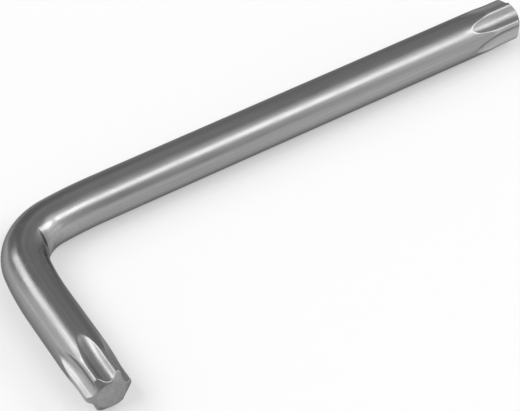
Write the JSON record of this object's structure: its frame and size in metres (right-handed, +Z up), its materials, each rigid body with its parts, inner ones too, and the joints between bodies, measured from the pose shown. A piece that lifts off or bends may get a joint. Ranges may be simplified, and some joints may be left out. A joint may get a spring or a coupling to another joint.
{
  "type": "star key",
  "caption": "L-shaped star key: a round steel bar bent to a long and a short arm, with a fluted star drive on each end for turning screws with a lobed recess.",
  "frame": {"origin": "under the middle of the key's box, on the surface that it lies on", "axes": "+X along the long arm to its star end, the short arm points to -Y, +Z up from the surface"},
  "size_m": [0.0905, 0.0372, 0.0069],
  "materials": {
    "steel": "satin, bright drawn and lightly plated"
  },
  "bodies": {
    "root": {"long_star_end": "steel", "long_shank": "steel", "long_lead": "steel", "bend": "steel", "short_lead": "steel", "short_shank": "steel", "short_star_end": "steel"}
  },
  "joints": []
}
